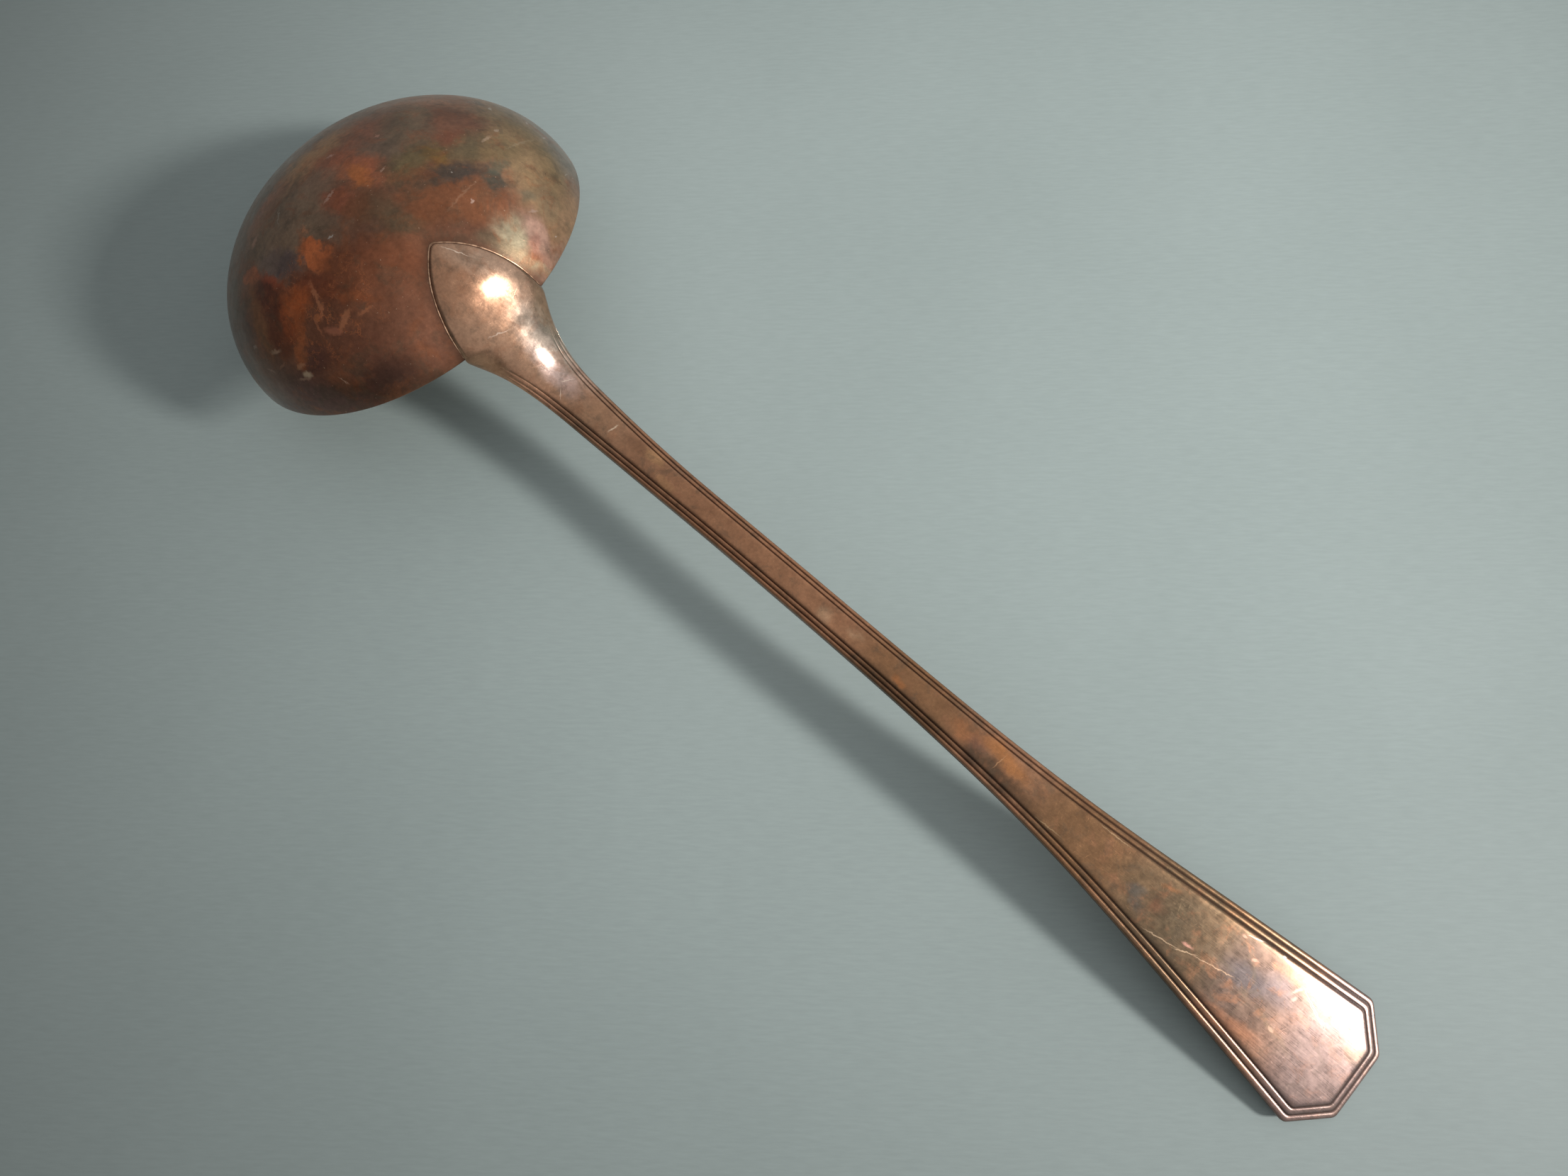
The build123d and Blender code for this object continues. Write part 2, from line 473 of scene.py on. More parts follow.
def make_handle():
    parts = MeshParts()
    for border, surface, flip in ((BORDER, upper, False), (FRONT, lower, True)):
        rings = [ring(on_stem, at_end) for on_stem, at_end, _, _ in border]
        rows = [surface(loop, row[0], row[2]) for loop, row in zip(rings, border)]
        grime_and_shade = [row[3] * threads_at(loop[:, 0]) for loop, row in zip(rings, border)]
        parts.strip(rows, grime_and_shade, closed=True, flip=flip)
        inner = grid(rings[-1])
        flat = inner.reshape(-1, 2)
        parts.strip(surface(flat, border[-1][0], 0.0).reshape(*inner.shape[:2], 3), flip=flip)
        if surface is upper:
            top, top_grime_and_shade = rows[0], grime_and_shade[0]
    steps = np.linspace(0, 1, WALL_STEPS + 1)[:, None, None]
    wall = top + (rows[0] - top) * steps
    # The side wall takes the top row's darkening: painted shade on the wall.
    parts.strip(wall, [top_grime_and_shade] * len(steps), closed=True, flip=True)
    return parts.build("handle_forging")


# ---- bowl and solder

def bowl_points(angle, azimuth, inset):
    """Points of the bowl, inset from its outside: x, y, z."""
    radial = (BOWL_RADIUS - inset) * np.cos(angle)
    return round_axis(radial, azimuth, (BOWL_DEPTH - inset) * np.sin(angle))


def round_axis(radial, azimuth, height):
    """Points round the bowl's axis, with a height over the rim plane: x, y, z."""
    return turned_up(radial * np.cos(azimuth), radial * np.sin(azimuth), height)


# How long the waves in the sheet are, and the most they can add up to.
WAVE_LENGTH, WAVE_REACH = 21.0, 1.95


def wobble(points):
    """How far hand work has pushed the sheet in, 0 to 1, by place."""
    x, y, z = (points / WAVE_LENGTH).T
    wave = (np.sin(1.3 * x + 0.7 * y + 0.4) * np.cos(1.1 * y - 0.8 * z + 1.3)
            + 0.6 * np.sin(2.3 * y + 1.9 * z + 2.1) * np.cos(2.1 * x - 0.6)
            + 0.35 * np.sin(3.7 * x - 2.9 * y + 0.9) * np.sin(3.1 * z + 1.7))
    return (WAVE_REACH + wave) / (2 * WAVE_REACH)


# How deep hand work dents the sheet, past which angle from the rim, and how far its
# outside keeps inside the CAD's.
DENT, DENTED_FROM = 0.14, 0.35
CLEAR = 0.02
# Points round the bowl, rows from its rim to its crown, and the angle where they start.
BOWL_COLUMNS, BOWL_ROWS, RIM_ANGLE = 288, 84, math.radians(0.76)
# Across the rounded rim: distance in from the outside, and height over the rim plane.
RIM_ROUND = [(0.04, 0.28), (0.10, 0.14), (0.20, 0.05), (0.36, 0.0), (0.65, 0.0), (0.96, 0.0),
             (1.12, 0.05), (1.22, 0.14), (1.28, 0.28)]
# How far from the heel the grime and painted shade on the bowl reach.
HEEL_GRIME_AND_SHADE = 1.7


def by_heel(points):
    """How much dirt and painted shade the bowl gets beside the heel of the handle, by place on the
    bowl.
    """
    side = circle_through(HEEL_POINT, HEEL_SIDE, RIM_CORNER, 60)
    edge = np.concatenate([side, side * [1, -1]])
    near = np.inf
    for place in edge:
        near = np.minimum(near, np.hypot(*(points[:, :2] - place).T))
    return np.exp(-(near / HEEL_GRIME_AND_SHADE) ** 2)


def make_bowl():
    parts = MeshParts()
    azimuth = np.linspace(0, 2 * math.pi, BOWL_COLUMNS, endpoint=False)
    outer, inner = [], []
    for angle in np.linspace(RIM_ANGLE, math.pi / 2, BOWL_ROWS):
        pushed = smooth(angle, 0.0, DENTED_FROM) * wobble(bowl_points(angle, azimuth, 0.0))
        dent = CLEAR + DENT * pushed
        outer.append(bowl_points(angle, azimuth, dent))
        inner.append(bowl_points(angle, azimuth, BOWL_WALL + dent))
    rim = [round_axis(BOWL_RADIUS - inset, azimuth, height) for inset, height in RIM_ROUND]
    rows = np.array(inner[::-1] + rim[::-1] + outer)
    parts.strip(rows, by_heel(rows.reshape(-1, 3)), closed=True)
    return parts.build("bowl_shell")


# Across the solder, outwards from under the heel: distance from its edge, height.
SOLDER = [(-0.7, 0.09), (-0.12, 0.09), (0.0, 0.22), (0.05, 0.17), (0.12, 0.13), (0.20, 0.15),
          (0.28, 0.16), (0.36, 0.12), (0.42, 0.03), (0.45, -0.06), (0.2, -0.12), (-0.7, -0.06)]
# Angles over the rim plane to look for the solder between, and how often they are halved.
LEAST_ANGLE, GREATEST_ANGLE, HALVINGS = -0.2, 1.45, 40


def on_bowl(plan, lift):
    """Points over the bowl, given from above by x and y."""
    x, y = plan.T
    low, high = np.full(len(x), LEAST_ANGLE), np.full(len(x), GREATEST_ANGLE)
    for _ in range(HALVINGS):
        angle = (low + high) / 2
        height = (BOWL_DEPTH + lift) * np.sin(angle)
        points = in_frame((BOWL_RADIUS + lift) * np.cos(angle), y, height)
        too_far = points[:, 0] > x
        low, high = np.where(too_far, angle, low), np.where(too_far, high, angle)
    return points


# The bead: points on a side, those left out by the rim, how often its line is softened,
# its waves (size, rate, start), its size at the ends, how far they taper, and the height
# that is the same all along.
BEAD_POINTS, BEAD_SHORT, BEAD_SOFT = 90, 3, 6
BEAD_WAVES = [(0.06, 0.17, 0.0), (0.03, 0.41, 1.0)]
BEAD_END, BEAD_TAPER, BEAD_BASE = 0.35, 14, 0.1


def make_solder():
    """The bead of hard solder that shows round the heel."""
    side = circle_through(HEEL_POINT, HEEL_SIDE, RIM_CORNER, BEAD_POINTS)[:-BEAD_SHORT]
    line = np.concatenate([side[::-1], side[1:] * [1, -1]])
    for _ in range(BEAD_SOFT):
        line[1:-1] = (line[:-2] + 2 * line[1:-1] + line[2:]) / 4
    _, outward = directions(line)
    step = np.arange(len(line))
    uneven = 1 + sum(size * np.sin(step * rate + start) for size, rate, start in BEAD_WAVES)
    taper = BEAD_END + (1 - BEAD_END) * smooth(np.minimum(step, step[::-1]), 0, BEAD_TAPER)
    rows = []
    for out, height in SOLDER:
        place = line + outward * (max(out, 0) * taper * uneven + min(out, 0))[:, None]
        over = max(height - BEAD_BASE, 0)
        rows.append(on_bowl(place, height - over + over * taper))
    parts = MeshParts()
    loops = np.array(rows).transpose(1, 0, 2)
    parts.strip(loops, closed=True)
    for cap in (loops[0], loops[-1]):
        first = len(parts.points)
        parts.points.extend(cap)
        parts.grime_and_shade.extend([0.0] * len(cap))
        parts.faces.append(list(range(first, first + len(cap))))
    return parts.build("solder_bead")


# ---- materials

def linear(*screen):
    """A colour for the shader from 0 to 255 screen values."""
    parts = [value / 255 for value in screen]
    return (*(p / 12.92 if p <= 0.04045 else ((p + 0.055) / 1.055) ** 2.4 for p in parts), 1.0)


# Half the depth of an oval, more than any piece has.
DEEP = 1000


class Nodes:
    """Short ways to add nodes to a material or the world."""

    def __init__(self, owner, output="OutputMaterial"):
        owner.use_nodes = True
        self.owner = owner
        self.tree = owner.node_tree
        self.tree.nodes.clear()
        self.output = self.add(output)

    def put(self, socket, value):
        if isinstance(value, bpy.types.NodeSocket):
            self.tree.links.new(value, socket)
        else:
            socket.default_value = value

    def add(self, kind, inputs=(), **settings):
        node = self.tree.nodes.new("ShaderNode" + kind)
        for key, value in settings.items():
            setattr(node, key, value)
        for key, value in dict(inputs).items():
            self.put(node.inputs[key], value)
        return node

    def math(self, operation, *values):
        return self.add("Math", enumerate(values), operation=operation).outputs[0]

    def vector(self, operation, *values):
        node = self.add("VectorMath", operation=operation)
        for i, value in enumerate(values):
            self.put(node.inputs["Scale" if operation == "SCALE" and i == 1 else i], value)
        number = operation in ("LENGTH", "DISTANCE", "DOT_PRODUCT")
        return node.outputs["Value" if number else "Vector"]

    def noise(self, vector, scale, detail, roughness, distortion=0.0, output="Fac"):
        inputs = {"Vector": vector, "Scale": scale, "Detail": detail, "Roughness": roughness,
                  "Distortion": distortion}
        return self.add("TexNoise", inputs).outputs[output]

    def between(self, value, low, high, to_low=0.0, to_high=1.0, kind="SMOOTHSTEP"):
        inputs = {"Value": value, "From Min": low, "From Max": high, "To Min": to_low,
                  "To Max": to_high}
        return self.add("MapRange", inputs, interpolation_type=kind).outputs["Result"]

    def varied(self, noise, low, high):
        """Where a noise usually is, spread evenly from low to high."""
        return self.between(noise, 0.3, 0.7, low, high, "LINEAR")

    def mix(self, factor, a, b):
        node = self.add("Mix", data_type="RGBA")
        for index, value in ((0, factor), (6, a), (7, b)):
            self.put(node.inputs[index], value)
        return node.outputs[2]

    def split(self, vector):
        return self.add("SeparateXYZ", {0: vector}).outputs

    def placed(self, vector, place, angle, size, tilt=0.0):
        """Coordinates measured from a place, turned and in units of size."""
        inputs = {"Vector": vector, "Location": (*place, 0)[:3], "Scale": size,
                  "Rotation": (0, math.radians(tilt), math.radians(angle))}
        return self.add("Mapping", inputs, vector_type="TEXTURE").outputs[0]

    def patch(self, vector, x, y, long, wide, angle, softness, strength=100):
        """The strength inside an oval of those half sizes, 0 outside it, and soft between them."""
        soft = softness / 100
        reach = 1 + soft
        local = self.placed(vector, (x, y), angle, (long * reach, wide * reach, DEEP))
        inward = self.add("TexGradient", {"Vector": local}, gradient_type="SPHERICAL")
        return self.between(inward.outputs["Fac"], 0.0, 2 * soft / reach, 0.0, strength / 100)

    def painted(self, base, vector, patches):
        """The base colour with ovals of other colours over it, in order."""
        for *oval, red, green, blue in patches:
            base = self.mix(self.patch(vector, *oval), base, linear(red, green, blue))
        return base

    def over(self, colour, mask, strength, tint):
        """The colour with a tint over it where the mask is."""
        return self.mix(self.math("MULTIPLY", mask, strength), colour, linear(*tint))

    def bump(self, height, distance, normal=None):
        inputs = {"Height": height, "Distance": distance, "Strength": 1.0}
        if normal is not None:
            inputs["Normal"] = normal
        return self.add("Bump", inputs).outputs[0]

    def shade(self, vector, colour, scale, low, high, detail=3.0):
        """The colour made darker and lighter by a noise, between two strengths."""
        return self.lit(colour, self.varied(self.noise(vector, scale, detail, 0.6), low, high))

    def lit(self, colour, strength):
        """The colour, lighter or darker."""
        return self.add("HueSaturation", {"Value": strength, "Color": colour}).outputs[0]

    def finished(self, inputs, shader="BsdfPrincipled"):
        """The material or world, with a shader that has those inputs."""
        self.put(self.output.inputs[0], self.add(shader, inputs).outputs[0])
        return self.owner

    def metal(self, colour, roughness, normal, coat=0.0, coat_roughness=0.3):
        return self.finished({"Base Color": colour, "Roughness": roughness, "Normal": normal,
                              "Metallic": 1.0, "Coat Weight": coat,
                              "Coat Roughness": coat_roughness})


def in_millimetres(nodes):
    """The place on the object, in millimetres, with x = 0 under the rim's centre."""
    place = nodes.add("TexCoord").outputs["Object"]
    return nodes.vector("SUBTRACT", nodes.vector("SCALE", place, 1 / MM), (RIM_X, 0, 0))


def warped(nodes, vector, place, *pushes):
    """vector pushed about by noises of a scale, an amount and a detail, for ragged edges."""
    for scale, amount, detail in pushes:
        push = nodes.noise(place, scale, detail, 0.6, output="Color")
        push = nodes.vector("SUBTRACT", push, (0.5, 0.5, 0.5))
        vector = nodes.vector("ADD", vector, nodes.vector("SCALE", push, amount))
    return vector


# Stains outside the bowl, and one painted highlight beside the heel, as ovals on a round map: 0, 0
# is the crown, +X is towards the handle, and the rim is at MAP_RIM from the middle. Each row is x,
# y, two half sizes, the angle, softness and strength in per cent, then red, green and blue from 0
# to 255.
BOWL_STAINS_AND_HIGHLIGHT = [
    # tan and golden plate round the sides
    (0, 62, 70, 30, 0, 60, 90, 192, 160, 136),
    (22, 82, 34, 20, -30, 60, 80, 182, 166, 154),
    (46, 50, 36, 15, 0, 50, 95, 190, 158, 120),
    (76, 57, 18, 13, -30, 60, 90, 202, 160, 128),
    (92, 38, 9, 15, 10, 60, 70, 206, 166, 146),
    (-4, 34, 16, 18, 20, 60, 90, 206, 152, 122),
    (-14, 12, 12, 34, 0, 60, 80, 184, 148, 126),
    (-16, -44, 16, 40, 0, 60, 80, 150, 126, 108),
    (4, -78, 34, 18, 0, 60, 80, 138, 116, 103),
    (-4, -2, 6, 11, 0, 50, 90, 222, 172, 128),
    (-5, -18, 5, 9, 0, 50, 80, 200, 138, 108),
    # red-brown and grey-green patches over the crown
    (20, 31, 14, 9, 12, 40, 90, 160, 112, 86),
    (25, 26, 4.5, 6, 0, 40, 80, 152, 100, 76),
    (5, 12, 9, 8, 0, 50, 90, 192, 134, 106),
    (7, 24, 8, 5, -10, 50, 80, 172, 144, 116),
    (15, 17, 13, 6.5, -12, 40, 90, 146, 124, 100),
    (13, 9, 7, 5, 20, 50, 80, 154, 130, 110),
    (26, 15, 7, 9, -20, 40, 90, 146, 126, 92),
    (26, 19.5, 5, 2, 10, 60, 70, 170, 132, 74),
    (32, 36, 7, 10, -20, 50, 80, 164, 140, 103),
    (30, 27, 5, 5, 0, 40, 80, 146, 128, 98),
    (43, 13, 15, 13, 0, 35, 95, 158, 106, 76),
    (34, 20, 3, 8, -28, 50, 90, 100, 92, 84),
    (43, 29, 5.5, 3, 15, 50, 85, 106, 102, 90),
    (40, 33, 2, 5, 20, 60, 60, 122, 122, 104),
    (55, 38, 2.5, 4, -40, 60, 50, 128, 128, 110),
    (62, 46, 9, 6, 0, 60, 70, 164, 140, 112),
    (30, 12, 3, 9, -25, 60, 50, 120, 98, 82),
    (54, 10, 4, 12, -50, 60, 60, 134, 98, 80),
    # the crown itself
    (11, 2, 12, 4.5, 15, 40, 95, 200, 128, 94),
    (16, 1.5, 5, 2.5, 0, 50, 80, 216, 138, 84),
    (31, -3, 8, 6, 0, 40, 85, 138, 110, 86),
    (36, -1, 7, 3, 30, 50, 60, 128, 108, 84),
    (8, -9, 8, 8, 0, 50, 80, 172, 140, 116),
    (18, -7, 6, 4.5, 0, 30, 95, 182, 116, 88),
    (24, -6, 3.5, 5, 0, 40, 80, 154, 106, 78),
    (21, -13, 11, 4, 8, 40, 90, 148, 122, 102),
    (31, -10, 3, 6, -20, 50, 80, 134, 112, 96),
    (8, -21, 13, 13, 0, 40, 90, 166, 140, 116),
    (13, -29, 8, 4.5, 15, 50, 80, 152, 130, 120),
    (17, -27, 3, 5, -40, 50, 60, 124, 106, 104),
    (23, -21, 6.6, 3.4, -6, 22, 100, 232, 140, 90),
    (3, -36.5, 4.5, 2.6, 25, 35, 95, 206, 132, 96),
    # copper brown from the crown to the lower rim
    (35, -20, 9, 14, 10, 50, 90, 148, 94, 68),
    (29, -28, 8, 4, 10, 50, 80, 146, 86, 62),
    (47, -15, 11, 11, 0, 50, 90, 168, 106, 74),
    (56, -14, 2, 9, 60, 60, 50, 190, 124, 88),
    (68, -24, 26, 11, -22, 60, 90, 156, 108, 84),
    (84, -31, 14, 7, -20, 60, 70, 166, 116, 92),
    (17, -40, 10, 6, -12, 40, 95, 128, 76, 56),
    (22, -49, 9, 7, -40, 50, 90, 140, 86, 60),
    (52, -42, 20, 14, -10, 60, 85, 146, 98, 76),
    (71, -50, 12, 13, -30, 60, 90, 104, 74, 62),
    (84, -48, 8, 12, -35, 60, 60, 140, 102, 84),
    (66, -66, 14, 9, -40, 60, 80, 116, 80, 68),
    (58, -60, 7, 4, 30, 60, 60, 140, 88, 60),
    (46, -72, 24, 12, -5, 60, 80, 128, 98, 92),
    (40, -52, 5, 6, 0, 60, 70, 122, 84, 74),
    (14, -66, 18, 9, 0, 60, 70, 148, 114, 94),
    (0, -60, 10, 12, 0, 60, 60, 134, 108, 92),
    (6, -54, 4, 4, 0, 60, 70, 122, 96, 82),
    (13, -49, 3.5, 13, 38, 50, 80, 176, 124, 86),
    (30, -91, 34, 7, 14, 60, 70, 122, 98, 92),
    # worn bright copper among it
    (25, -36, 4.5, 6, -20, 50, 90, 214, 122, 72),
    (29, -42, 7, 2.4, -45, 50, 90, 202, 122, 78),
    (33, -50, 8, 2.2, -75, 50, 90, 196, 122, 80),
    (27, -44, 3, 4, 0, 60, 70, 190, 108, 66),
    (14, -34, 6, 1.8, 8, 60, 70, 192, 106, 74),
    (41, -25, 7, 1.6, 25, 60, 60, 184, 112, 74),
    # pale plate beside the heel; the first oval is a painted highlight, pale where the window's
    # reflection falls
    (66, 24, 8.5, 7, 20, 60, 85, 188, 176, 148),
    (63, 15, 7, 3.5, 20, 50, 85, 120, 102, 82),
    (77, 22, 13, 3, 22, 60, 80, 156, 138, 112),
    (86, 29, 12, 2, 30, 60, 60, 190, 170, 140),
    (72, 34, 11, 5.5, 5, 50, 85, 198, 160, 142),
    (74, 30.5, 4.5, 3.5, 0, 40, 80, 178, 134, 116),
]
# Small scratches, chips and dings of bright metal, in the same form.
BOWL_MARKS = [
    (43, -33, 1.1, 4.2, 10, 40, 63, 216, 140, 98),
    (41.5, -38, 3.2, 1.4, 20, 40, 63, 206, 130, 98),
    (34.5, -36.5, 1.2, 1.2, 0, 40, 56, 214, 130, 82),
    (31, -31, 5, 0.6, -35, 50, 56, 224, 146, 104),
    (35, -34, 3, 0.5, -60, 50, 49, 220, 140, 98),
    (36, -39, 3.5, 0.5, -35, 50, 49, 220, 140, 98),
    (47, -27, 2.5, 0.7, 70, 50, 49, 214, 136, 94),
    (34.5, -57, 2.4, 1, 60, 50, 56, 222, 160, 120),
    (38, -60, 2, 1.6, 20, 50, 70, 250, 214, 176),
    (37, -63, 2.6, 0.7, 30, 60, 56, 206, 160, 134),
    (22.5, -56, 2.6, 0.9, 30, 50, 63, 216, 172, 140),
    (11, -59, 1.2, 0.7, 30, 60, 49, 196, 166, 150),
    (53, -56.6, 2.6, 0.35, -20, 50, 63, 226, 178, 150),
    (20, -66.5, 2.2, 0.6, 0, 60, 42, 196, 156, 136),
    (26, -61, 2.6, 0.35, 60, 60, 42, 196, 140, 110),
    (28.3, 36, 0.5, 2.2, 14, 50, 56, 222, 186, 156),
    (25.5, 42, 0.5, 0.8, 20, 50, 56, 230, 200, 176),
    (11.5, 49, 1.4, 0.5, -25, 50, 63, 244, 226, 210),
    (19.5, 62, 1.3, 0.6, -30, 50, 56, 232, 214, 204),
    (28.4, 66.5, 0.6, 1.5, 25, 50, 56, 232, 210, 200),
    (50.5, 68, 0.4, 1.6, 15, 50, 49, 228, 204, 190),
    (51.5, 75, 0.4, 1.6, 15, 50, 42, 220, 190, 176),
    (2.7, 1.5, 0.6, 0.9, -30, 50, 63, 240, 190, 170),
    (8, 12.7, 0.6, 0.5, 0, 50, 56, 240, 176, 150),
    (46.4, 18, 0.5, 0.5, 0, 50, 63, 240, 200, 180),
    (34.2, 19, 0.4, 0.4, 0, 50, 63, 206, 190, 176),
    (42.5, 17, 0.35, 6, 12, 70, 35, 196, 148, 116),
    (33, 50, 0.35, 9, 10, 70, 28, 214, 190, 158),
    (20.3, 6.5, 0.3, 0.9, 20, 50, 49, 232, 190, 166),
    (14.5, -7, 0.3, 2, 12, 50, 56, 222, 180, 160),
    (24, -14.7, 0.35, 0.8, -20, 50, 63, 226, 216, 206),
    (3, -18, 0.25, 2.6, 50, 60, 42, 206, 190, 172),
    (-2, -27, 1, 1.8, 10, 50, 56, 226, 170, 144),
    (15.5, -17, 1.8, 0.5, -20, 60, 49, 220, 150, 110),
    (78, 43.5, 0.5, 0.6, 0, 50, 56, 240, 214, 196),
    (62, 36.5, 0.5, 2.2, -20, 60, 42, 210, 180, 164),
]
# The oval where bright copper shows in a net of small scratches.
NET = (35, -36, 17, 20, -15, 50)
# Where the rim is on the map.
MAP_RIM = 100.0
# Colours of the bowl: plate, patches, worn copper and flecks, pits, the inside, grime and painted
# shade beside the heel.
BOWL_PLATE, BOWL_WARM, BOWL_COOL = (160, 112, 86), (176, 112, 76), (112, 98, 80)
BARE_COPPER, BRIGHT_FLECK, DARK_PIT = (212, 126, 80), (222, 178, 146), (84, 60, 50)
INSIDE_PALE, INSIDE_DARK, BOWL_GRIME_AND_SHADE = (188, 172, 150), (142, 112, 88), (76, 54, 42)
BOWL_GAMMA = 1.14
# Directions of the fine scratches, by angle and tilt.
BOWL_LINES = [(20, 10), (75, -15), (-35, 20), (130, 5)]
HANDLE_LINES = [(8, 0), (-12, 0), (65, 10), (110, -10)]


def own_axes(nodes, place):
    """The place measured from the rim's centre, square to the rim plane."""
    from_rim = nodes.vector("SUBTRACT", place, (0, 0, RIM_HEIGHT))
    return nodes.add("VectorRotate", {"Vector": from_rim, "Angle": TILT},
                     rotation_type="Y_AXIS").outputs[0]


def mottled(nodes, place, colour, scale, warm, cool):
    """Ragged patches of a warm and a cool colour over it, at random."""
    for shift, tint, amount in ((0.0, warm, 0.42), (61.0, cool, 0.40)):
        shifted = nodes.vector("ADD", place, (shift, shift, shift))
        spread = nodes.noise(shifted, scale, 6.0, 0.68, 0.5)
        colour = nodes.mix(nodes.between(spread, 0.50, 0.66, 0.0, amount), colour, linear(*tint))
    return colour


# About how long, wide and deep a fine scratch is, and how much lighter than the metal.
SCRATCH_SIZE = (14.0, 0.3, 0.3)
SCRATCH_LIGHT = 0.26


def fine_wear(nodes, vector, colour, lines):
    """Fine scratches along lines, by angle and tilt. Gives the colour and where they are."""
    worn = None
    for seed, (angle, tilt) in enumerate(lines):
        start = (seed * 17.3, 5.1, 2.7)
        turned = nodes.placed(vector, start, angle, SCRATCH_SIZE, tilt)
        line = nodes.between(nodes.noise(turned, 1.0, 3.0, 0.6), 0.61, 0.80)
        worn = line if worn is None else nodes.math("MAXIMUM", worn, line)
    faded = nodes.between(nodes.noise(vector, 0.16, 2.0, 0.5), 0.38, 0.62, 0.25, 1.0)
    worn = nodes.math("MULTIPLY", worn, faded)
    return nodes.lit(colour, nodes.math("MULTIPLY_ADD", worn, SCRATCH_LIGHT, 1.0)), worn


def grimed_and_shaded(nodes, colour, strength, tint):
    """The colour with the mesh's dirt and painted shade over it, and how much of them there is."""
    grime_and_shade = nodes.add("Attribute", attribute_name="grime_and_shade").outputs["Fac"]
    return nodes.over(colour, grime_and_shade, strength, tint), grime_and_shade


def make_bowl_metal():
    nodes = Nodes(bpy.data.materials.new("worn_bowl_metal"))
    place = in_millimetres(nodes)
    own = own_axes(nodes, place)
    ball = nodes.vector("DIVIDE", own, (BOWL_RADIUS, BOWL_RADIUS, BOWL_DEPTH))
    height = nodes.math("ADD", nodes.split(ball)[2], 1.0)
    outwards = nodes.vector("SCALE", ball, nodes.math("DIVIDE", MAP_RIM, height))
    flat = nodes.vector("MULTIPLY", outwards, (1, 1, 0))
    stained = warped(nodes, flat, own, (0.045, 4.0, 3.0), (0.35, 7.0, 4.0))
    colour = nodes.painted(linear(*BOWL_PLATE), stained, BOWL_STAINS_AND_HIGHLIGHT)
    colour = mottled(nodes, own, colour, 0.14, BOWL_WARM, BOWL_COOL)
    colour = nodes.add("Gamma", {0: colour, 1: BOWL_GAMMA}).outputs[0]
    colour = nodes.shade(own, colour, 0.16, 0.86, 1.14)
    colour = nodes.shade(own, colour, 0.9, 0.84, 1.16, 5.0)
    ridges = nodes.noise(own, 0.34, 4.0, 0.65, 0.6)
    ridges = nodes.math("ABSOLUTE", nodes.math("SUBTRACT", ridges, 0.5))
    net = nodes.math("MULTIPLY", nodes.between(ridges, 0.03, 0.0), nodes.patch(stained, *NET))
    net = nodes.math("MULTIPLY", net, nodes.between(nodes.noise(own, 0.22, 3.0, 0.6), 0.42, 0.62))
    colour = nodes.over(colour, net, 0.75, BARE_COPPER)
    colour = nodes.painted(colour, warped(nodes, flat, own, (1.1, 2.6, 3.0)), BOWL_MARKS)
    flecks = nodes.between(nodes.noise(own, 1.9, 2.0, 0.5), 0.71, 0.78)
    colour = nodes.over(colour, flecks, 0.7, BRIGHT_FLECK)
    pits = nodes.between(nodes.noise(own, 2.3, 3.0, 0.6), 0.33, 0.25)
    colour = nodes.over(colour, pits, 0.5, DARK_PIT)
    colour, worn = fine_wear(nodes, own, colour, BOWL_LINES)
    inner = nodes.between(nodes.vector("LENGTH", ball), 0.986, 0.979)
    dull = nodes.between(nodes.noise(own, 0.11, 5.0, 0.6, 0.4), 0.35, 0.68)
    inside = nodes.mix(dull, linear(*INSIDE_PALE), linear(*INSIDE_DARK))
    colour = nodes.mix(inner, colour, inside)
    # Painted shade and grime: the bowl is darker in a soft band round the heel, where the handle
    # sits on it.
    colour, _ = grimed_and_shaded(nodes, colour, 0.62, BOWL_GRIME_AND_SHADE)
    rough = nodes.varied(nodes.noise(own, 0.35, 5.0, 0.65), 0.27, 0.42)
    rough = nodes.math("MULTIPLY_ADD", worn, 0.08, rough)
    normal = nodes.bump(nodes.noise(own, 0.085, 2.0, 0.5), 0.00022)
    normal = nodes.bump(nodes.noise(own, 1.6, 4.0, 0.6), 0.000014, normal)
    normal = nodes.bump(worn, -0.000006, normal)
    return nodes.metal(colour, rough, normal, 0.25, 0.3)
